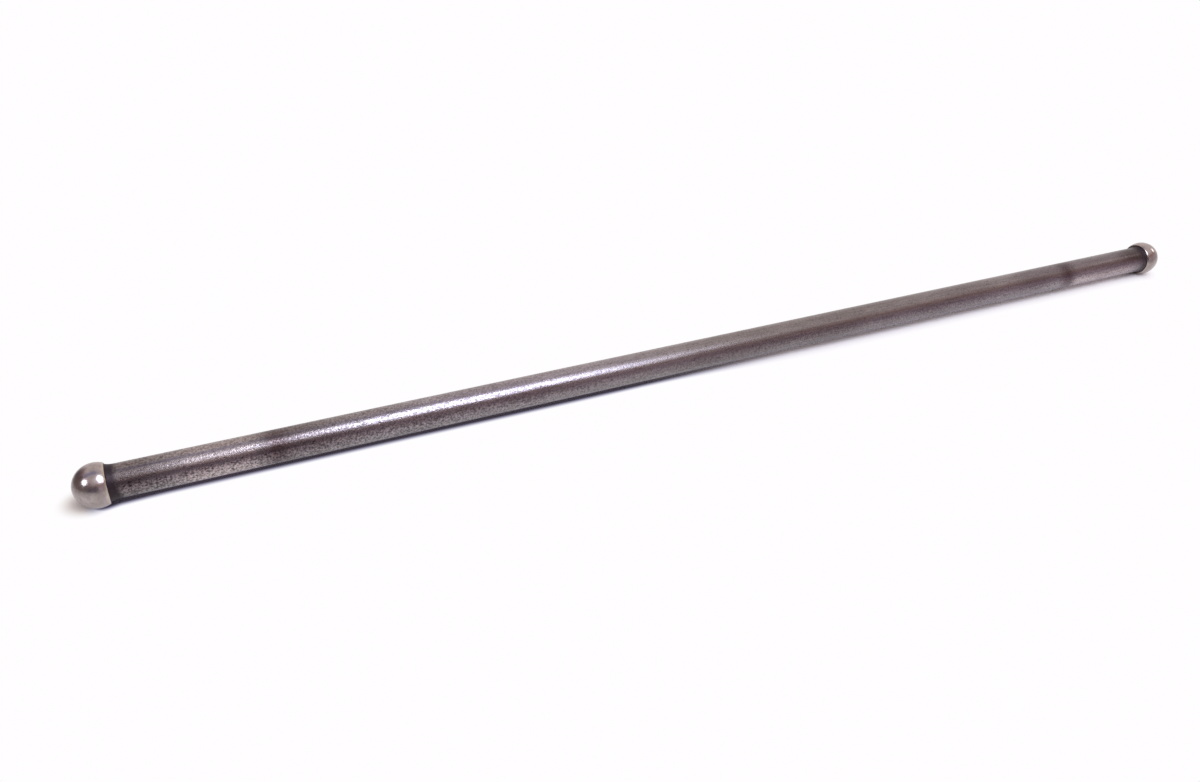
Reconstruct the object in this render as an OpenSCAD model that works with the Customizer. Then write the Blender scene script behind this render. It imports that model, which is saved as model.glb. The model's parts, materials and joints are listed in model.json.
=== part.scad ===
// Solid engine pushrod: one straight steel bar with a ground ball on each end.
// Millimetres. The rod lies along X, +Z is up, and the origin is the middle of the rod.

/* [Rod] */
// Length over both balls
overall_length = 305; // [120:0.5:450]
// Diameter of the drawn shank
shank_d = 7.35; // [4:0.05:7.6]

/* [Ball ends] */
// Diameter of the ground ball on each end
ball_d = 9.525; // [9.3:0.005:16]
// Distance from the ball's centre back to its flat shoulder
shoulder_back = 2; // [0.5:0.05:2.4]
// Width by which the sharp lip between ball and shoulder is broken
lip_break = 0.08; // [0.02:0.01:0.15]
// Length over which the shank flares out to the shoulder
neck_length = 1.7; // [0.8:0.1:3]
// Height of that flare where it meets the shoulder
neck_rise = 0.35; // [0.1:0.05:0.4]

/* [Hidden] */
ball_r = ball_d / 2;
shank_r = shank_d / 2;
// Place of each shoulder along the rod, measured from the rod's middle
shoulder_at = overall_length / 2 - ball_r - shoulder_back;
// Radius of the lip, where the shoulder's plane cuts the ball
lip_r = sqrt(pow(ball_r, 2) - pow(shoulder_back, 2));
// The flare leaves the shoulder's broken lip alone
flare = min(neck_rise, lip_r - lip_break - shank_r);
// Radius of the cove that runs out of the shank and up to the shoulder
cove_r = (pow(neck_length, 2) + pow(flare, 2)) / (2 * flare);
// Bar before it is turned: longer than the rod, so that the balls alone set its length
bar_length = overall_length + ball_d;
// Each end's shank cut runs a little past the rod's middle
shank_cut_length = shoulder_at + ball_r;
// Facets round a full circle
facets = 96;

// Half sections of one end: X is the distance from the axis, and Y the place in front of the shoulder

// Flare left standing at the foot of the shoulder, under a cove that leaves the shank without a step
module neck_flare() {
    difference() {
        translate([shank_r, -neck_length]) square([cove_r, neck_length]);
        translate([shank_r + cove_r, -neck_length]) circle(r = cove_r, $fn = facets);
    }
}

// Cut behind the shoulder, down to the shank
module shank_cut() {
    difference() {
        translate([shank_r, -shank_cut_length]) square([ball_r, shank_cut_length]);
        neck_flare();
    }
}

// Cut in front of the shoulder, down to the ball
module ball_cut() {
    difference() {
        square(2 * ball_d);
        translate([0, shoulder_back]) circle(r = ball_r, $fn = facets);
    }
}

// Cut that takes the sharp lip off at 45 degrees
module lip_cut() {
    translate([lip_r - lip_break, 0]) polygon([[0, 0], [4 * lip_break, 0], [4 * lip_break, 4 * lip_break]]);
}

// The whole rod, turned from one bar as thick as its balls
module pushrod() {
    color([0.37, 0.34, 0.35])
    rotate([0, 90, 0])
    rotate_extrude($fn = facets)
    difference() {
        translate([0, -bar_length / 2]) square([ball_r, bar_length]);
        for (end = [0, 1]) mirror([0, end, 0]) translate([0, shoulder_at]) {
            shank_cut();
            ball_cut();
            lip_cut();
        }
    }
}

pushrod();
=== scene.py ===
"""A solid steel pushrod on a white table: ground balls, scaled necks and a drawn shank with heat bands."""

import json
import math
from collections import namedtuple

import bpy
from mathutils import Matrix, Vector


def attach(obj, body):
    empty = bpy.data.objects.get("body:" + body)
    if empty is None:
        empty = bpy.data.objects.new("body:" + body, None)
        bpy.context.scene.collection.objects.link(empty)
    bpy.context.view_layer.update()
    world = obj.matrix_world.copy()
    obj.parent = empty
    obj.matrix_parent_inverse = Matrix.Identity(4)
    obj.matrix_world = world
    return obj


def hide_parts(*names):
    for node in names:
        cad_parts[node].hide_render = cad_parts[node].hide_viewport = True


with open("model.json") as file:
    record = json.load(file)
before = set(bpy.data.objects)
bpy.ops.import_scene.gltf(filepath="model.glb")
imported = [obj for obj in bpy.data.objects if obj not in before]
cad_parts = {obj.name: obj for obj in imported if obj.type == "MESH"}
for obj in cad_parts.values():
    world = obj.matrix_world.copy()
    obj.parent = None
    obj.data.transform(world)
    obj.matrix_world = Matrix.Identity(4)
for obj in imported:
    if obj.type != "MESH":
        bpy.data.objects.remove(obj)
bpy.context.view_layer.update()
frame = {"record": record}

# Sizes of the rod, in metres: the balls come from the frame, the rest repeats the part's own sizes
MM = 0.001
near_ball, far_ball = frame["record"]["mounts"]
BALL_RADIUS = near_ball["dims"]["r_mm"] * MM
BALL_CENTRE = far_ball["pos_m"][0]
SHANK_RADIUS = 7.35 / 2 * MM
SHOULDER_BACK = 2.0 * MM
LIP_BREAK = 0.08 * MM
NECK_LENGTH = 1.7 * MM
NECK_RISE = 0.35 * MM

# What follows from those: the lip where ball and shoulder meet, the near shoulder and the shank's girth
LIP_RADIUS = math.sqrt(BALL_RADIUS ** 2 - SHOULDER_BACK ** 2)
SHOULDER_AT = -BALL_CENTRE + SHOULDER_BACK
SHANK_GIRTH = 2 * math.pi * SHANK_RADIUS

# Arc of the ball that the broken lip takes, and where two rings keep the shoulder looking flat
LIP_ARC = 2.3 * LIP_BREAK
RING_UNDER_LIP = 1.5 * LIP_BREAK
RING_OVER_COVE = 0.3 * LIP_BREAK

# Fineness of the turned mesh
STEPS_AROUND = 160
STEPS_ON_BALL = 44
STEPS_ON_COVE = 10
STEPS_ON_SHANK = 60

# Slots of the rod's two finishes
BALL_SLOT = 0
BAR_SLOT = 1

# Flat layout of the surface for baking: its name, the strips of the bar, and the gap between pieces
BAKE_MAP = "OFBake"
FLAT_STRIPS = 3
FLAT_GAP = 1.5 * MM

# Camera, in metres from the middle of the rod, with its lens as pixels of the 1200 wide picture
CAMERA_PLACE = Vector((-130.8, -205.4, 119.7)) * MM
CAMERA_YAW = math.radians(24.99)
CAMERA_PITCH = math.radians(28.67)
PICTURE_WIDTH = 1200
LENS_PIXELS = 1056.4
SENSOR_WIDTH = 36.0
NEAREST_SEEN = 5 * MM


# The turned rod

def ball_outline():
    """Points (place along X, radius) on the near ball, from its tip to its broken lip."""
    lip_angle = math.pi / 2 + math.asin(SHOULDER_BACK / BALL_RADIUS) - LIP_ARC / BALL_RADIUS
    points = []
    for step in range(STEPS_ON_BALL + 1):
        angle = lip_angle * step / STEPS_ON_BALL
        points.append((-BALL_CENTRE - BALL_RADIUS * math.cos(angle), BALL_RADIUS * math.sin(angle)))
    return points


def neck_outline():
    """Points down the flat of the near shoulder, and on along its cove to the plain shank."""
    shoulder = [
        (SHOULDER_AT, LIP_RADIUS - LIP_BREAK),
        (SHOULDER_AT, LIP_RADIUS - RING_UNDER_LIP),
        (SHOULDER_AT, SHANK_RADIUS + NECK_RISE + RING_OVER_COVE),
    ]
    cove_radius = (NECK_LENGTH ** 2 + NECK_RISE ** 2) / (2 * NECK_RISE)
    cove_angle = math.asin(NECK_LENGTH / cove_radius)
    cove = []
    for step in range(STEPS_ON_COVE + 1):
        angle = cove_angle * (1 - step / STEPS_ON_COVE)
        place = SHOULDER_AT + NECK_LENGTH - cove_radius * math.sin(angle)
        cove.append((place, SHANK_RADIUS + cove_radius * (1 - math.cos(angle))))
    return shoulder + cove


def rod_outline():
    """The rod's outline from tip to tip, and how many of its points lie on each ball."""
    ball = ball_outline()
    near_end = ball + neck_outline()
    shank_start = near_end[-1][0]
    shank = []
    for step in range(1, STEPS_ON_SHANK):
        shank.append((shank_start * (1 - 2 * step / STEPS_ON_SHANK), SHANK_RADIUS))
    far_end = [(-x, radius) for x, radius in reversed(near_end)]
    return near_end + shank + far_end, len(ball)


def turned_points(outline):
    """The outline turned about X: one point at each tip, and a ring of points for each place between."""
    points = [(outline[0][0], 0, 0)]
    for x, radius in outline[1:-1]:
        for step in range(STEPS_AROUND):
            angle = 2 * math.pi * step / STEPS_AROUND
            points.append((x, radius * math.cos(angle), radius * math.sin(angle)))
    points.append((outline[-1][0], 0, 0))
    return points


def point_number(ring, turn, last_ring):
    """Which of the turned points lies on a ring of the outline, a number of steps round it."""
    if ring == 0:
        return 0
    before = 1 + (ring - 1) * STEPS_AROUND
    if ring == last_ring:
        return before
    return before + turn % STEPS_AROUND


def band_corners(band, step, last_ring):
    """Corners (ring, turn) of a face between a ring and the next; at a tip it has three."""
    corners = [(band, step), (band, step + 1), (band + 1, step + 1), (band + 1, step)]
    if band == 0:
        corners.remove((band, step + 1))
    if band + 1 == last_ring:
        corners.remove((band + 1, step + 1))
    return corners


def disc_place(centre, run, turn):
    """Where a point of a ball lies on the flat layout: on a disc round the ball's tip."""
    angle = 2 * math.pi * turn / STEPS_AROUND
    return centre[0] + run * math.cos(angle), centre[1] + run * math.sin(angle)


class FlatLayout:
    """The rod's surface laid flat for baking: strips of the bar, and each ball as a disc above them."""

    def __init__(self, outline, ball_points):
        self.runs = [0.0]
        for before, after in zip(outline, outline[1:]):
            self.runs.append(self.runs[-1] + math.dist(before, after))
        self.bar_bands = range(ball_points, len(outline) - 1 - ball_points)
        self.disc_radius = self.runs[ball_points]
        self.strip_length = (self.runs[-1] - 2 * self.disc_radius) / FLAT_STRIPS
        disc_height = FLAT_STRIPS * (SHANK_GIRTH + FLAT_GAP) + self.disc_radius
        self.near_disc = (self.disc_radius, disc_height)
        self.far_disc = (3 * self.disc_radius + FLAT_GAP, disc_height)

    def strip_place(self, band, run, turn):
        """Where a point of the bar lies: in its band's strip, and the strips lie above one another."""
        middle = (self.runs[band] + self.runs[band + 1]) / 2
        strip = int((middle - self.disc_radius) / self.strip_length)
        along = run - self.disc_radius - strip * self.strip_length
        return along, strip * (SHANK_GIRTH + FLAT_GAP) + SHANK_GIRTH * turn / STEPS_AROUND

    def place(self, band, ring, turn):
        """Where a corner of a face in one band lies."""
        run = self.runs[ring]
        if band < self.bar_bands.start:
            return disc_place(self.near_disc, run, turn)
        if band >= self.bar_bands.stop:
            return disc_place(self.far_disc, self.runs[-1] - run, turn)
        return self.strip_place(band, run, turn)


def lay_flat(mesh, places):
    """Gives the mesh its flat layout, scaled to one square page."""
    low_x = min(x for x, y in places)
    page = max(max(x for x, y in places) - low_x, max(y for x, y in places))
    layout = mesh.uv_layers.new(name=BAKE_MAP)
    for corner, (x, y) in zip(layout.uv, places):
        corner.vector = ((x - low_x) / page, y / page)


def turned_rod():
    """The whole rod as one closed mesh turned about X, with a slot for its balls and one for its bar."""
    outline, ball_points = rod_outline()
    layout = FlatLayout(outline, ball_points)
    last_ring = len(outline) - 1
    faces = []
    slots = []
    places = []
    for band in range(last_ring):
        slot = BAR_SLOT if band in layout.bar_bands else BALL_SLOT
        for step in range(STEPS_AROUND):
            corners = band_corners(band, step, last_ring)
            faces.append([point_number(ring, turn, last_ring) for ring, turn in corners])
            places += [layout.place(band, ring, turn) for ring, turn in corners]
            slots.append(slot)

    mesh = bpy.data.meshes.new("pushrod_steel")
    mesh.from_pydata(turned_points(outline), [], faces)
    mesh.polygons.foreach_set("material_index", slots)
    mesh.shade_smooth()
    lay_flat(mesh, places)
    rod = bpy.data.objects.new("pushrod_steel", mesh)
    bpy.context.collection.objects.link(rod)
    return rod


# Short ways to place and link shader nodes

# Sockets of the Mix node, which has its own set for values and for colours
MIX_FACTOR = 0
VALUE_A, VALUE_B, VALUE_RESULT = 2, 3, 0
COLOUR_A, COLOUR_B, COLOUR_RESULT = 6, 7, 2


def make(tree, kind, **settings):
    node = tree.nodes.new(kind)
    for name, value in settings.items():
        setattr(node, name, value)
    return node


def feed(tree, socket, value):
    """Links a socket into another, or sets a plain value on it; a colour is given by its three parts."""
    if isinstance(value, bpy.types.NodeSocket):
        tree.links.new(value, socket)
    elif socket.type == "RGBA":
        socket.default_value = (*value, 1)
    else:
        socket.default_value = value


def calc(tree, operation, first, second=0.0):
    node = make(tree, "ShaderNodeMath", operation=operation)
    feed(tree, node.inputs[0], first)
    feed(tree, node.inputs[1], second)
    return node.outputs[0]


def product(tree, first, *others):
    """All the values multiplied together."""
    for other in others:
        first = calc(tree, "MULTIPLY", first, other)
    return first


def slope(tree, value, low, high, at_low=0.0, at_high=1.0):
    """A smooth change from at_low to at_high, while value goes from low to high."""
    node = make(tree, "ShaderNodeMapRange", interpolation_type="SMOOTHSTEP")
    feed(tree, node.inputs["Value"], value)
    feed(tree, node.inputs["From Min"], low)
    feed(tree, node.inputs["From Max"], high)
    feed(tree, node.inputs["To Min"], at_low)
    feed(tree, node.inputs["To Max"], at_high)
    return node.outputs[0]


def by_share(tree, share, at_none, at_full):
    """A value that changes smoothly as a share goes from 0 to 1."""
    return slope(tree, share, 0.0, 1.0, at_none, at_full)


def hump(tree, value, centre, half_width):
    """1 at the centre, and smoothly down to 0 at half_width to either side of it."""
    away = calc(tree, "ABSOLUTE", calc(tree, "SUBTRACT", value, centre))
    return slope(tree, away, half_width, 0.0)


def blend_value(tree, factor, first, second):
    node = make(tree, "ShaderNodeMix", data_type="FLOAT")
    feed(tree, node.inputs[MIX_FACTOR], factor)
    feed(tree, node.inputs[VALUE_A], first)
    feed(tree, node.inputs[VALUE_B], second)
    return node.outputs[VALUE_RESULT]


def blend(tree, factor, first, second, mode="MIX"):
    node = make(tree, "ShaderNodeMix", data_type="RGBA", blend_type=mode)
    feed(tree, node.inputs[MIX_FACTOR], factor)
    feed(tree, node.inputs[COLOUR_A], first)
    feed(tree, node.inputs[COLOUR_B], second)
    return node.outputs[COLOUR_RESULT]


def tinted(tree, colour, amount, tint):
    """The colour multiplied by a tint, by the given amount."""
    return blend(tree, amount, colour, tint, mode="MULTIPLY")


def stretched(tree, point, factors):
    """The point with each of its axes multiplied by its own factor."""
    node = make(tree, "ShaderNodeVectorMath", operation="MULTIPLY")
    feed(tree, node.inputs[0], point)
    feed(tree, node.inputs[1], factors)
    return node.outputs[0]


def noise(tree, point, scale, detail=2.0, rough=0.55):
    node = make(tree, "ShaderNodeTexNoise")
    feed(tree, node.inputs["Vector"], point)
    feed(tree, node.inputs["Scale"], scale)
    feed(tree, node.inputs["Detail"], detail)
    feed(tree, node.inputs["Roughness"], rough)
    return node.outputs["Fac"]


def axes_of(tree, point):
    """The outputs X, Y and Z of a point or direction."""
    node = make(tree, "ShaderNodeSeparateXYZ")
    feed(tree, node.inputs[0], point)
    return node.outputs


def object_point(tree):
    return make(tree, "ShaderNodeTexCoord").outputs["Object"]


def new_material(name):
    material = bpy.data.materials.new(name)
    material.use_nodes = True
    return material, material.node_tree, material.node_tree.nodes["Principled BSDF"]


def new_group(name, inputs, outputs):
    """A shader node group with named sockets, given as pairs of name and kind."""
    group = bpy.data.node_groups.new(name, "ShaderNodeTree")
    for socket, kind in inputs:
        group.interface.new_socket(socket, in_out="INPUT", socket_type="NodeSocket" + kind)
    for socket, kind in outputs:
        group.interface.new_socket(socket, in_out="OUTPUT", socket_type="NodeSocket" + kind)
    return group, group.nodes.new("NodeGroupInput").outputs, group.nodes.new("NodeGroupOutput").inputs


def place_group(tree, group, values):
    node = make(tree, "ShaderNodeGroup", node_tree=group)
    for name, value in values.items():
        feed(tree, node.inputs[name], value)
    return node.outputs


# What both steels share

# Skin of the steel: ranges of its noise and cells, stretch along the rod, and a pit's depth in grains
GRAIN_RANGE = (0.34, 0.66)
PIT_STRETCH = (0.6, 1.0, 1.0)
PIT_EDGE = (0.42, 0.22)
PIT_DEPTH = 1.5
STREAK_STRETCH = (0.04, 1.0, 1.0)
STREAKS_PER_MM = 2.2
STREAK_RANGE = (0.32, 0.68)
NOISE_MIDDLE = 0.5

# Half of the stretch at the rod's middle, in mm, over which the near half's values become the far half's
MIDDLE_HALF = 10.0


def rod_place_group():
    """Where a point lies on the rod: in mm, from the nearer ball's centre, and in degrees up the front."""
    group, given, result = new_group(
        "rod place",
        [("Point", "Vector")],
        [("Point mm", "Vector"), ("Along", "Float"), ("Height", "Float"), ("From Ball", "Float"),
         ("Around", "Float")])
    in_mm = stretched(group, given["Point"], (1 / MM, 1 / MM, 1 / MM))
    axes = axes_of(group, in_mm)
    from_ball = calc(group, "SUBTRACT", BALL_CENTRE / MM, calc(group, "ABSOLUTE", axes["X"]))
    forward = product(group, axes["Y"], -1.0)
    around = calc(group, "ARCTAN2", axes["Z"], forward)
    feed(group, result["Point mm"], in_mm)
    feed(group, result["Along"], axes["X"])
    feed(group, result["Height"], axes["Z"])
    feed(group, result["From Ball"], from_ball)
    feed(group, result["Around"], calc(group, "DEGREES", around))
    return group


def steel_skin_group():
    """Fine skin of worked steel: grain, pits and lengthwise streaks from 0 to 1, and its height."""
    group, given, result = new_group(
        "steel skin",
        [("Point mm", "Vector"), ("Grain mm", "Float"), ("Pit mm", "Float"), ("Pit Share", "Float")],
        [("Grain", "Float"), ("Pits", "Float"), ("Streaks", "Float"), ("Height", "Float")])
    point = given["Point mm"]
    grain = noise(group, point, calc(group, "DIVIDE", 1.0, given["Grain mm"]), detail=3.0, rough=0.65)
    grain = slope(group, grain, *GRAIN_RANGE)

    cells = make(group, "ShaderNodeTexVoronoi")
    feed(group, cells.inputs["Vector"], stretched(group, point, PIT_STRETCH))
    feed(group, cells.inputs["Scale"], calc(group, "DIVIDE", 1.0, given["Pit mm"]))
    pick = make(group, "ShaderNodeSeparateColor")
    feed(group, pick.inputs[0], cells.outputs["Color"])
    picked = calc(group, "LESS_THAN", pick.outputs[0], given["Pit Share"])
    pits = product(group, slope(group, cells.outputs["Distance"], *PIT_EDGE), picked)

    streaks = noise(group, stretched(group, point, STREAK_STRETCH), STREAKS_PER_MM, detail=4.0, rough=0.7)
    feed(group, result["Grain"], grain)
    feed(group, result["Pits"], pits)
    feed(group, result["Streaks"], slope(group, streaks, *STREAK_RANGE))
    feed(group, result["Height"], calc(group, "SUBTRACT", grain, product(group, pits, PIT_DEPTH)))
    return group


def surface_start(tree, groups, grain_mm, pit_mm, pit_share):
    """Place and skin of one steel, from the two shared groups."""
    place = place_group(tree, groups["place"], {"Point": object_point(tree)})
    skin = place_group(tree, groups["skin"], {
        "Point mm": place["Point mm"], "Grain mm": grain_mm, "Pit mm": pit_mm, "Pit Share": pit_share})
    return place, skin


def grained_normal(tree, steel, height, depth_mm):
    bump = make(tree, "ShaderNodeBump")
    feed(tree, bump.inputs["Distance"], depth_mm * MM)
    feed(tree, bump.inputs["Height"], height)
    feed(tree, steel.inputs["Normal"], bump.outputs[0])


def by_end(tree, along, near_and_far):
    """A value that is one thing on the near half of the rod and another on its far half."""
    return slope(tree, along, -MIDDLE_HALF, MIDDLE_HALF, *near_and_far)


# The balls

# Mottling: its size in patches a mm, how noise becomes it, and the colours that it lies between
MOTTLE_SCALE = 0.55
MOTTLE_RANGE = (0.3, 0.7)
BALL_DARK = (0.33, 0.277, 0.268)
BALL_BRIGHT = (0.43, 0.374, 0.362)
# Tints of grain and specks, with how much of each shows
BALL_GRAIN_TINT = (0.75, 0.74, 0.76)
BALL_GRAIN_SHARE = 0.5
SPECK_TINT = (0.35, 0.3, 0.3)
SPECK_SHARE = 0.5
# Worn lip: where wear starts and is full, in mm before the shoulder, and its share near and far
LIP_WEAR_START = 0.7
LIP_WEAR_FULL = 0.1
LIP_WEAR = (0.6, 0.25)
LIP_TAN = (0.56, 0.46, 0.38)
# Roughness between the grains and on them, and the grain's depth in mm
BALL_ROUGHNESS = (0.17, 0.25)
BALL_GRAIN_DEPTH = 0.003


def ground_ball_steel(groups):
    """Bright ground steel with faint mottling, a worn tan lip and a few dark specks."""
    material, tree, steel = new_material("ground ball steel")
    place, skin = surface_start(tree, groups, grain_mm=0.35, pit_mm=0.9, pit_share=0.1)
    mottle = slope(tree, noise(tree, place["Point mm"], MOTTLE_SCALE, detail=3.0), *MOTTLE_RANGE)
    colour = blend(tree, mottle, BALL_DARK, BALL_BRIGHT)
    colour = tinted(tree, colour, product(tree, skin["Grain"], BALL_GRAIN_SHARE), BALL_GRAIN_TINT)
    shoulder = SHOULDER_BACK / MM
    lip = slope(tree, place["From Ball"], shoulder - LIP_WEAR_START, shoulder - LIP_WEAR_FULL)
    lip_wear = by_end(tree, place["Along"], LIP_WEAR)
    colour = blend(tree, product(tree, lip, lip_wear), colour, LIP_TAN)
    colour = tinted(tree, colour, product(tree, skin["Pits"], SPECK_SHARE), SPECK_TINT)
    feed(tree, steel.inputs["Base Color"], colour)
    steel.inputs["Metallic"].default_value = 1
    feed(tree, steel.inputs["Roughness"], by_share(tree, skin["Grain"], *BALL_ROUGHNESS))
    grained_normal(tree, steel, skin["Height"], BALL_GRAIN_DEPTH)
    return material


# The bar, with places along it in mm from the rod's middle, and heights in mm from its axis

# Heights at which the upper side starts to turn into the under side, and has done so
UNDER_SIDE = (2.6, 0.2)
# Ragged edges of the marks: patches a mm, and the width of their swing in mm
EDGE_SCALE = 0.45
EDGE_SWING = 4.0
# Grain: where it starts to fade and has faded, what is left of it then, and the middle that it fades to
GRAIN_FADES = (-95.0, -15.0)
FAR_GRAIN = 0.45
PLAIN_GRAIN = 0.5
# Colours between the grains and on them
BAR_TOP = ((0.178, 0.15, 0.144), (0.376, 0.334, 0.326))
BAR_BELOW = ((0.1, 0.089, 0.094), (0.40, 0.355, 0.362))
# Long blotches and streaks
BLOTCH_STRETCH = (0.12, 0.4, 0.4)
BLOTCH_SCALE = 0.35
BLOTCH_RANGE = (0.35, 0.65)
BLOTCH_TINT = (0.8, 0.78, 0.78)
STREAK_SHARE = 0.7
STREAK_TINT = (0.68, 0.66, 0.7)
# Pits, which show most on the under side of the near end
PITTED_END = (-85.0, -110.0)
PITS_SHOWN = (0.35, 0.85)
PIT_TINT = (0.28, 0.25, 0.26)
# The far half: a little cooler, lighter below with a painted reflection of the white table, and at last
# smoky on top
COOLER = (20.0, 100.0)
COOLER_TINT = (1.06, 1.06, 1.1)
FAR_TABLE_REFLECTION = (40.0, 100.0)
FAR_TABLE_REFLECTION_TINT = (1.2, 1.2, 1.2)
SMOKY = (88.0, 106.0)
SMOKY_TINT = (0.7, 0.67, 0.7)
# Painted sheen: the top of the near half made lighter and bluer along the stretch where the lamp's light
# falls
PAINTED_SHEEN_MIDDLE = -58.0
PAINTED_SHEEN_HALF = 62.0
PAINTED_SHEEN_HEIGHT = (1.4, 3.0)
PAINTED_SHEEN_TINT = (1.36, 1.38, 1.5)
# Painted shade along the front: a darker band in place of the dark room that the steel shows there, in
# degrees up from the front
FRONT_SHADE_MIDDLE = 12.0
FRONT_SHADE_HALF = 30.0
FRONT_SHADE_TINT = (0.88, 0.8, 0.84)

# Marks near the balls, in mm from the nearer ball's centre, as a pair where near and far end differ

# Paler stretch before each heat band, how far it keeps to the under side, and how much less it shows under
# the painted front shade
PALE_START = (16.0, 7.0)
PALE_START_HALF = 3.0
PALE_END = 31.0
PALE_END_HALF = 2.0
PALE_KEPT_LOW = (0.0, 0.9)
PALE_UNDER_FRONT_SHADE = 0.4
PALE_SHARE = 0.9
PALE_GREY = (0.66, 0.645, 0.635)
PALE_LOW_TINT = (1.25, 1.22, 1.2)
# Soot next to each ball, and how far it keeps to the top
SOOT_END = (15.0, 16.0)
SOOT_FULL = 6.0
SOOT_ON_TOP = (0.0, 1.0)
SOOT_ALL_ROUND = 0.5
SOOT_TINT = (0.5, 0.45, 0.44)
# Dark heat band at each end, and the tail that follows the near one and is fainter below
HEAT_BAND = (35.4, 33.5)
HEAT_BAND_HALF = 4.2
HEAT_TINT = (0.54, 0.465, 0.47)
TAIL_START = 38.0
TAIL_END = 56.0
TAIL_RISE = (-4.0, 1.0)
TAIL_AT = (1.0, 0.0)
TAIL_BELOW = 0.4
TAIL_TINT = (0.64, 0.6, 0.6)
# Black scale on each neck: its width behind the shoulder, below and on top, its edge, and its cover
SCALE_BELOW = 2.2
SCALE_ON_TOP = (1.7, 2.2)
SCALE_TURN = 3.2
SCALE_RAGGED = 0.25
SCALE_GONE = (0.8, 1.9)
SCALE_FULL = (-0.6, -2.2)
SCALE_COVER = (0.95, 0.75)
SCALE_BLACK = (0.034, 0.025, 0.029)

# Roughness of the bar between the grains, on them and on the scale, and the grain's depth in mm
BAR_ROUGHNESS = (0.36, 0.2)
SCALE_ROUGHNESS = 0.5
BAR_GRAIN_DEPTH = 0.009

# What the marks on the bar are placed by
Spot = namedtuple("Spot", "along height from_ball ragged_from_ball ragged under upper stain")


def bar_spot(tree, place):
    """Where a point of the bar lies, with a ragged distance from the ball for the edges of its marks."""
    edge_noise = noise(tree, place["Point mm"], EDGE_SCALE, detail=4.0)
    ragged = product(tree, calc(tree, "SUBTRACT", edge_noise, NOISE_MIDDLE), EDGE_SWING)
    under = slope(tree, place["Height"], *UNDER_SIDE)
    return Spot(
        along=place["Along"],
        height=place["Height"],
        from_ball=place["From Ball"],
        ragged_from_ball=calc(tree, "ADD", place["From Ball"], ragged),
        ragged=ragged,
        under=under,
        upper=calc(tree, "SUBTRACT", 1.0, under),
        # Painted shade: a darker band up the front, in place of the dark room that the steel shows
        stain=hump(tree, place["Around"], FRONT_SHADE_MIDDLE, FRONT_SHADE_HALF))


def bar_ground_colour(tree, place, skin, grain, under):
    """Drawn steel before its marks: brownish on top, greyer and more speckled below, with long streaks."""
    colour = blend(tree, under, blend(tree, grain, *BAR_TOP), blend(tree, grain, *BAR_BELOW))
    blotch_point = stretched(tree, place["Point mm"], BLOTCH_STRETCH)
    blotch_noise = noise(tree, blotch_point, BLOTCH_SCALE, detail=3.0)
    colour = tinted(tree, colour, slope(tree, blotch_noise, *BLOTCH_RANGE), BLOTCH_TINT)
    return tinted(tree, colour, product(tree, skin["Streaks"], STREAK_SHARE), STREAK_TINT)


def pitted(tree, colour, spot, skin):
    low_near_end = product(tree, slope(tree, spot.along, *PITTED_END), spot.under)
    shown = by_share(tree, low_near_end, *PITS_SHOWN)
    return tinted(tree, colour, product(tree, skin["Pits"], shown), PIT_TINT)


def paler_stretches(tree, colour, spot):
    """Paler between soot and heat band, at the far end mostly below, and less so under the painted shade
    along the front.
    """
    past_start = calc(tree, "SUBTRACT", spot.ragged_from_ball, by_end(tree, spot.along, PALE_START))
    started = slope(tree, past_start, -PALE_START_HALF, PALE_START_HALF)
    not_ended = slope(tree, spot.ragged_from_ball, PALE_END + PALE_END_HALF, PALE_END - PALE_END_HALF)
    low = blend_value(tree, by_end(tree, spot.along, PALE_KEPT_LOW), 1.0, spot.under)
    pale = product(tree, started, not_ended, low, by_share(tree, spot.stain, 1.0, PALE_UNDER_FRONT_SHADE))
    colour = blend(tree, product(tree, pale, PALE_SHARE), colour, PALE_GREY, mode="OVERLAY")
    return tinted(tree, colour, product(tree, pale, spot.under), PALE_LOW_TINT)


def sooted(tree, colour, spot):
    """Darker next to each ball: all round at the near end, and on top at the far end."""
    share = blend_value(tree, by_end(tree, spot.along, SOOT_ON_TOP), SOOT_ALL_ROUND, spot.upper)
    sooty = slope(tree, spot.ragged_from_ball, by_end(tree, spot.along, SOOT_END), SOOT_FULL)
    return tinted(tree, colour, product(tree, sooty, share), SOOT_TINT)


def far_half_toned(tree, colour, spot):
    colour = tinted(tree, colour, slope(tree, spot.along, *COOLER), COOLER_TINT)
    # Painted reflection: the under side of the far half made lighter, as if it showed the white table
    table_reflection = product(tree, slope(tree, spot.along, *FAR_TABLE_REFLECTION), spot.under)
    colour = tinted(tree, colour, table_reflection, FAR_TABLE_REFLECTION_TINT)
    smoky = product(tree, slope(tree, spot.along, *SMOKY), spot.upper)
    return tinted(tree, colour, smoky, SMOKY_TINT)


# Painted sheen on the top of the near half and painted shade along the front, both standing in for light
# and dark that the steel shows
def painted_sheen_and_shade(tree, colour, spot):
    sheen_along = hump(tree, spot.along, PAINTED_SHEEN_MIDDLE, PAINTED_SHEEN_HALF)
    painted_sheen = product(tree, sheen_along, slope(tree, spot.height, *PAINTED_SHEEN_HEIGHT))
    colour = tinted(tree, colour, painted_sheen, PAINTED_SHEEN_TINT)
    return tinted(tree, colour, spot.stain, FRONT_SHADE_TINT)


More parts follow.
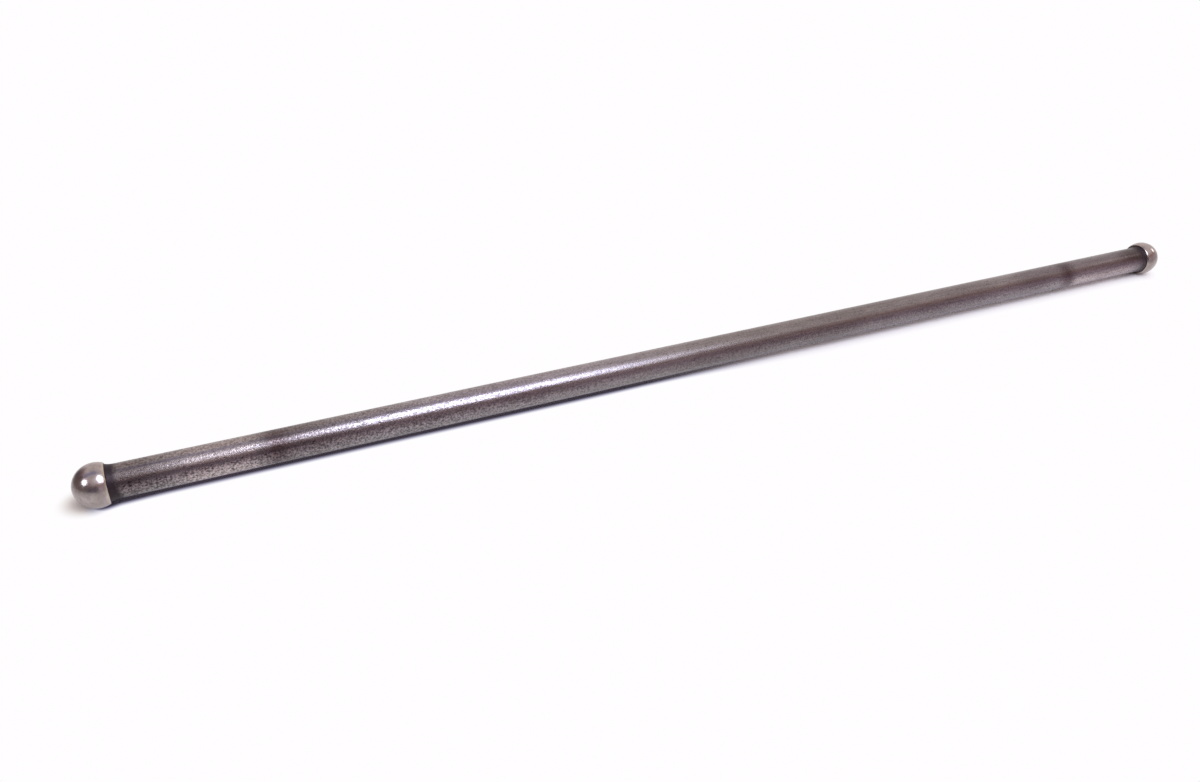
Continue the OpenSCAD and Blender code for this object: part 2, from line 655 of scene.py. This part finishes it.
def heat_marked(tree, colour, spot):
    """A dark band at each end, and at the near one a fainter tail that fades towards the middle."""
    from_band = calc(tree, "SUBTRACT", spot.ragged_from_ball, by_end(tree, spot.along, HEAT_BAND))
    colour = tinted(tree, colour, hump(tree, from_band, 0.0, HEAT_BAND_HALF), HEAT_TINT)
    rise_start, rise_end = TAIL_RISE
    tail = product(
        tree,
        slope(tree, spot.ragged_from_ball, TAIL_END, TAIL_START),
        by_end(tree, spot.along, TAIL_AT),
        slope(tree, spot.ragged_from_ball, TAIL_START + rise_start, TAIL_START + rise_end),
        by_share(tree, spot.under, 1.0, TAIL_BELOW))
    return tinted(tree, colour, tail, TAIL_TINT)


def neck_scale(tree, spot):
    """Share of black scale at a place: full at the shoulder, with a ragged edge down the shank."""
    on_top = slope(tree, spot.height, -SCALE_TURN, SCALE_TURN)
    width = blend_value(tree, on_top, SCALE_BELOW, by_end(tree, spot.along, SCALE_ON_TOP))
    edge = calc(tree, "ADD", width, SHOULDER_BACK / MM)
    past_edge = calc(tree, "SUBTRACT", spot.from_ball, edge)
    past_edge = calc(tree, "ADD", past_edge, product(tree, spot.ragged, SCALE_RAGGED))
    gone = by_end(tree, spot.along, SCALE_GONE)
    full = by_end(tree, spot.along, SCALE_FULL)
    return slope(tree, past_edge, gone, full)


def drawn_bar_steel(groups):
    """Dark drawn bar: grain, pits and long marks, and soot, a heat band and a black neck at either end."""
    material, tree, steel = new_material("drawn bar steel")
    place, skin = surface_start(tree, groups, grain_mm=0.44, pit_mm=0.6, pit_share=0.4)
    spot = bar_spot(tree, place)
    coarse = slope(tree, spot.along, *GRAIN_FADES, 1.0, FAR_GRAIN)
    grain = blend_value(tree, coarse, PLAIN_GRAIN, skin["Grain"])
    colour = bar_ground_colour(tree, place, skin, grain, spot.under)
    colour = pitted(tree, colour, spot, skin)
    colour = paler_stretches(tree, colour, spot)
    colour = sooted(tree, colour, spot)
    colour = far_half_toned(tree, colour, spot)
    # Painted sheen on top and painted shade along the front
    colour = painted_sheen_and_shade(tree, colour, spot)
    colour = heat_marked(tree, colour, spot)
    scale = neck_scale(tree, spot)
    scale_cover = product(tree, scale, by_end(tree, spot.along, SCALE_COVER))
    feed(tree, steel.inputs["Base Color"], blend(tree, scale_cover, colour, SCALE_BLACK))
    steel.inputs["Metallic"].default_value = 1
    roughness = by_share(tree, grain, *BAR_ROUGHNESS)
    feed(tree, steel.inputs["Roughness"], blend_value(tree, scale, roughness, SCALE_ROUGHNESS))
    grained_normal(tree, steel, product(tree, skin["Height"], coarse), BAR_GRAIN_DEPTH)
    return material


# The table: sizes and places in metres, along the rod and across it

TABLE_REACH = 40.0
TABLE_WHITE = (1.0, 0.985, 1.0)
# Shade by the rod, measured from a line behind its axis; past the balls, distance counts for more
LINE_BEHIND = 6 * MM
PAST_BALL_COUNTS = 1.6
# Distances at which it starts to clear and has cleared, near and far, with the stretch between the two
SHADE_CHANGES = (-25 * MM, 30 * MM)
SHADE_START = (6.05 * MM, 4.9 * MM)
SHADE_END = (8.2 * MM, 11.8 * MM)
# Behind the axis it clears in any case
CLEAR_BEHIND = (1.5 * MM, 4 * MM)
# Stretches where the shade is wider: towards the balls, under them, and on the near half
END_STRETCH = (-14 * MM, 0.0)
END_WIDER = 0.5 * MM
UNDER_BALL = -0.5 * MM
UNDER_BALL_HALF = 3.5 * MM
UNDER_BALL_WIDER = 0.6 * MM
NEAR_MIDDLE = -42 * MM
NEAR_MIDDLE_HALF = 50 * MM
NEAR_MIDDLE_WIDER = 0.2 * MM
# Shade at the near ball's foot: its middle past the ball's centre and behind the axis, and where it clears
FOOT_PAST = 2.3 * MM
FOOT_BEHIND = 2.5 * MM
FOOT_CLEARS = (1.5 * MM, 7 * MM)
# Colours of the shade and of its edge towards the white: near half, far half, and left of the rod
TURNS_FAR = (-30 * MM, 25 * MM)
TURNS_LEFT = (-BALL_CENTRE - 0.5 * MM, -BALL_CENTRE - 4 * MM)
NEAR_SHADE = (0.15, 0.12, 0.2)
FAR_SHADE = (0.82, 0.77, 0.8)
LEFT_SHADE = (0.5, 0.45, 0.42)
NEAR_EDGE = (0.66, 0.66, 0.97)
FAR_EDGE = (0.98, 0.92, 0.98)
LEFT_EDGE = (1.0, 0.93, 0.88)
# Finish of the table
TABLE_ROUGHNESS = 0.6
TABLE_SPECULAR = 0.2
SHEEN_ROUGHNESS = 0.2
SHEEN_IOR = 1.5


def flat_sheet(name, corners):
    mesh = bpy.data.meshes.new(name)
    mesh.from_pydata(corners, [], [(0, 1, 2, 3)])
    sheet = bpy.data.objects.new(name, mesh)
    bpy.context.collection.objects.link(sheet)
    return sheet


def from_point(tree, along, across):
    """Distance given by the two offsets along and across the rod."""
    squares = calc(tree, "ADD", calc(tree, "POWER", along, 2.0), calc(tree, "POWER", across, 2.0))
    return calc(tree, "SQRT", squares)


def table_openness(tree, along, across):
    """How open the table is: 0 close under the rod and at its near ball's foot, 1 where it is white."""
    past_ball = calc(tree, "SUBTRACT", calc(tree, "ABSOLUTE", along), BALL_CENTRE)
    past_end = product(tree, calc(tree, "MAXIMUM", past_ball, 0.0), PAST_BALL_COUNTS)
    from_line = from_point(tree, past_end, calc(tree, "SUBTRACT", across, LINE_BEHIND))
    wider_by = [
        slope(tree, past_ball, *END_STRETCH, 0.0, END_WIDER),
        product(tree, hump(tree, past_ball, UNDER_BALL, UNDER_BALL_HALF), UNDER_BALL_WIDER),
        product(tree, hump(tree, along, NEAR_MIDDLE, NEAR_MIDDLE_HALF), NEAR_MIDDLE_WIDER),
    ]
    for width in wider_by:
        from_line = calc(tree, "SUBTRACT", from_line, width)
    shade_start = slope(tree, along, *SHADE_CHANGES, *SHADE_START)
    shade_end = slope(tree, along, *SHADE_CHANGES, *SHADE_END)
    beside_rod = slope(tree, from_line, shade_start, shade_end)
    beside_rod = calc(tree, "MAXIMUM", beside_rod, slope(tree, across, *CLEAR_BEHIND))
    past_foot = calc(tree, "SUBTRACT", past_ball, FOOT_PAST)
    from_foot = from_point(tree, past_foot, calc(tree, "SUBTRACT", across, FOOT_BEHIND))
    near_foot = slope(tree, from_foot, *FOOT_CLEARS)
    far_half = slope(tree, along, -MIDDLE_HALF * MM, MIDDLE_HALF * MM)
    return calc(tree, "MINIMUM", beside_rod, calc(tree, "MAXIMUM", near_foot, far_half))


def shader_mix(tree, factor, first, second):
    node = make(tree, "ShaderNodeMixShader")
    feed(tree, node.inputs[0], factor)
    feed(tree, node.inputs[1], first)
    feed(tree, node.inputs[2], second)
    return node.outputs[0]


def white_table():
    """White table whose open part shows as plain white, and which keeps the shadow close to the rod."""
    reach = TABLE_REACH
    z = -BALL_RADIUS
    corners = [(-reach, -reach, z), (reach, -reach, z), (reach, reach, z), (-reach, reach, z)]
    table = flat_sheet("table", corners)
    material, tree, paper = new_material("white table")
    place = axes_of(tree, object_point(tree))
    along, across = place["X"], place["Y"]
    at_left = slope(tree, along, *TURNS_LEFT)
    far_along = slope(tree, along, *TURNS_FAR)
    shade = blend(tree, at_left, blend(tree, far_along, NEAR_SHADE, FAR_SHADE), LEFT_SHADE)
    feed(tree, paper.inputs["Base Color"], shade)
    paper.inputs["Roughness"].default_value = TABLE_ROUGHNESS
    paper.inputs["Specular IOR Level"].default_value = TABLE_SPECULAR

    path = make(tree, "ShaderNodeLightPath").outputs
    mirrored = calc(tree, "MAXIMUM", path["Is Glossy Ray"], path["Is Transmission Ray"])
    seen = calc(tree, "MAXIMUM", path["Is Camera Ray"], mirrored)
    openness = table_openness(tree, along, across)
    edge = blend(tree, at_left, blend(tree, far_along, NEAR_EDGE, FAR_EDGE), LEFT_EDGE)
    white = make(tree, "ShaderNodeEmission")
    feed(tree, white.inputs["Color"], blend(tree, openness, edge, TABLE_WHITE))
    surface = shader_mix(tree, product(tree, openness, seen), paper.outputs[0], white.outputs[0])

    sheen = make(tree, "ShaderNodeBsdfGlossy")
    sheen.inputs["Roughness"].default_value = SHEEN_ROUGHNESS
    grazing = make(tree, "ShaderNodeFresnel")
    grazing.inputs["IOR"].default_value = SHEEN_IOR
    sheen_share = product(tree, grazing.outputs[0], path["Is Glossy Ray"])
    surface = shader_mix(tree, sheen_share, surface, sheen.outputs[0])
    feed(tree, tree.nodes["Material Output"].inputs["Surface"], surface)
    table.data.materials.append(material)


# The room, as parts of a direction towards the right, the back and up

# Colours of the open room, of the part overhead, and of the dark wall: low and high, from left to right
ROOM_PALE = (1.0, 0.93, 0.92)
OVERHEAD_BLUE = (0.44, 0.47, 0.74)
LOW_WALL = ((0.14, 0.12, 0.16), (0.62, 0.525, 0.575))
HIGH_WALL = ((0.3, 0.19, 0.2), (0.5, 0.3, 0.22))
FAR_LEFT_WALL = (0.25, 0.19, 0.18)
# Where the wall's colours change towards the right, upwards, and far to the left
LOW_WALL_TURNS = (0.0, 0.22)
HIGH_WALL_TURNS = (0.04, 0.16)
WALL_RISES = (0.25, 0.5)
FAR_LEFT = (-0.5, -0.9)
# The dark wall stands in front and on the left, and ends higher up
IN_FRONT = (0.2, -0.3)
FRONT_TOP = (0.8, 0.36)
ON_LEFT = (-0.15, -0.6)
LEFT_TOP = (0.9, 0.6)
# The part overhead: a strip across, high up, that ends on the right
OVERHEAD_BACK = 0.1
OVERHEAD_HALF = 0.3
OVERHEAD_RISES = (0.5, 0.8)
OVERHEAD_ENDS = (0.45, 0.05)


def room_light():
    """Pale room that is dark low down in front and on the left, as the metal shows it."""
    world = bpy.data.worlds.new("room")
    bpy.context.scene.world = world
    world.use_nodes = True
    tree = world.node_tree
    toward = axes_of(tree, make(tree, "ShaderNodeTexCoord").outputs["Generated"])
    right, back, up = toward["X"], toward["Y"], toward["Z"]
    low_wall = blend(tree, slope(tree, right, *LOW_WALL_TURNS), *LOW_WALL)
    high_wall = blend(tree, slope(tree, right, *HIGH_WALL_TURNS), *HIGH_WALL)
    dark_wall = blend(tree, slope(tree, up, *WALL_RISES), low_wall, high_wall)
    dark_wall = blend(tree, slope(tree, right, *FAR_LEFT), dark_wall, FAR_LEFT_WALL)
    front_low = product(tree, slope(tree, back, *IN_FRONT), slope(tree, up, *FRONT_TOP))
    left_low = product(tree, slope(tree, right, *ON_LEFT), slope(tree, up, *LEFT_TOP))
    overhead = product(
        tree,
        hump(tree, back, OVERHEAD_BACK, OVERHEAD_HALF),
        slope(tree, up, *OVERHEAD_RISES),
        slope(tree, right, *OVERHEAD_ENDS))
    colour = blend(tree, overhead, ROOM_PALE, OVERHEAD_BLUE)
    colour = blend(tree, calc(tree, "MAXIMUM", front_low, left_low), colour, dark_wall)
    feed(tree, tree.nodes["Background"].inputs["Color"], colour)


def soft_lamp(name, place, target, width, height, radiance, colour):
    """An oval lamp facing its target, with a power that goes with the size of its face."""
    light = bpy.data.lights.new(name, "AREA")
    light.shape = "ELLIPSE"
    light.size = width
    light.size_y = height
    light.energy = radiance * width * height * math.pi
    light.color = colour
    lamp = bpy.data.objects.new(name, light)
    lamp.location = place
    lamp.rotation_euler = (Vector(target) - Vector(place)).to_track_quat("-Z", "Y").to_euler()
    bpy.context.collection.objects.link(lamp)


def photo_camera():
    camera = bpy.data.cameras.new("camera")
    camera.sensor_width = SENSOR_WIDTH
    camera.lens = SENSOR_WIDTH * LENS_PIXELS / PICTURE_WIDTH
    camera.clip_start = NEAREST_SEEN
    viewer = bpy.data.objects.new("camera", camera)
    viewer.location = CAMERA_PLACE
    viewer.rotation_euler = (math.pi / 2 - CAMERA_PITCH, 0, -CAMERA_YAW)
    bpy.context.collection.objects.link(viewer)
    bpy.context.scene.camera = viewer


# The rod in its frame, with its finishes in the order of their slots
rod = turned_rod()
shared = {"place": rod_place_group(), "skin": steel_skin_group()}
rod.data.materials.append(ground_ball_steel(shared))
rod.data.materials.append(drawn_bar_steel(shared))
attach(rod, "root")
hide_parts("pushrod")

# Table, light and camera, with the lamps' places and sizes in metres
white_table()
room_light()
soft_lamp(
    "right_lamp", place=(0.024, -0.22, 0.357), target=(-0.07, 0, 0),
    width=0.213, height=0.29, radiance=5.6, colour=(0.78, 0.89, 1.12))
soft_lamp(
    "left_lamp", place=(-0.37, -0.087, 0.185), target=(-0.148, 0, 0),
    width=0.128, height=0.118, radiance=5.8, colour=(0.86, 0.93, 1.06))
soft_lamp(
    "far_lamp", place=(0.60, -0.07, 0.25), target=(0.148, 0, 0),
    width=0.12, height=0.12, radiance=4.0, colour=(1.0, 0.98, 0.96))
photo_camera()

bpy.context.scene.view_settings.view_transform = "Standard"
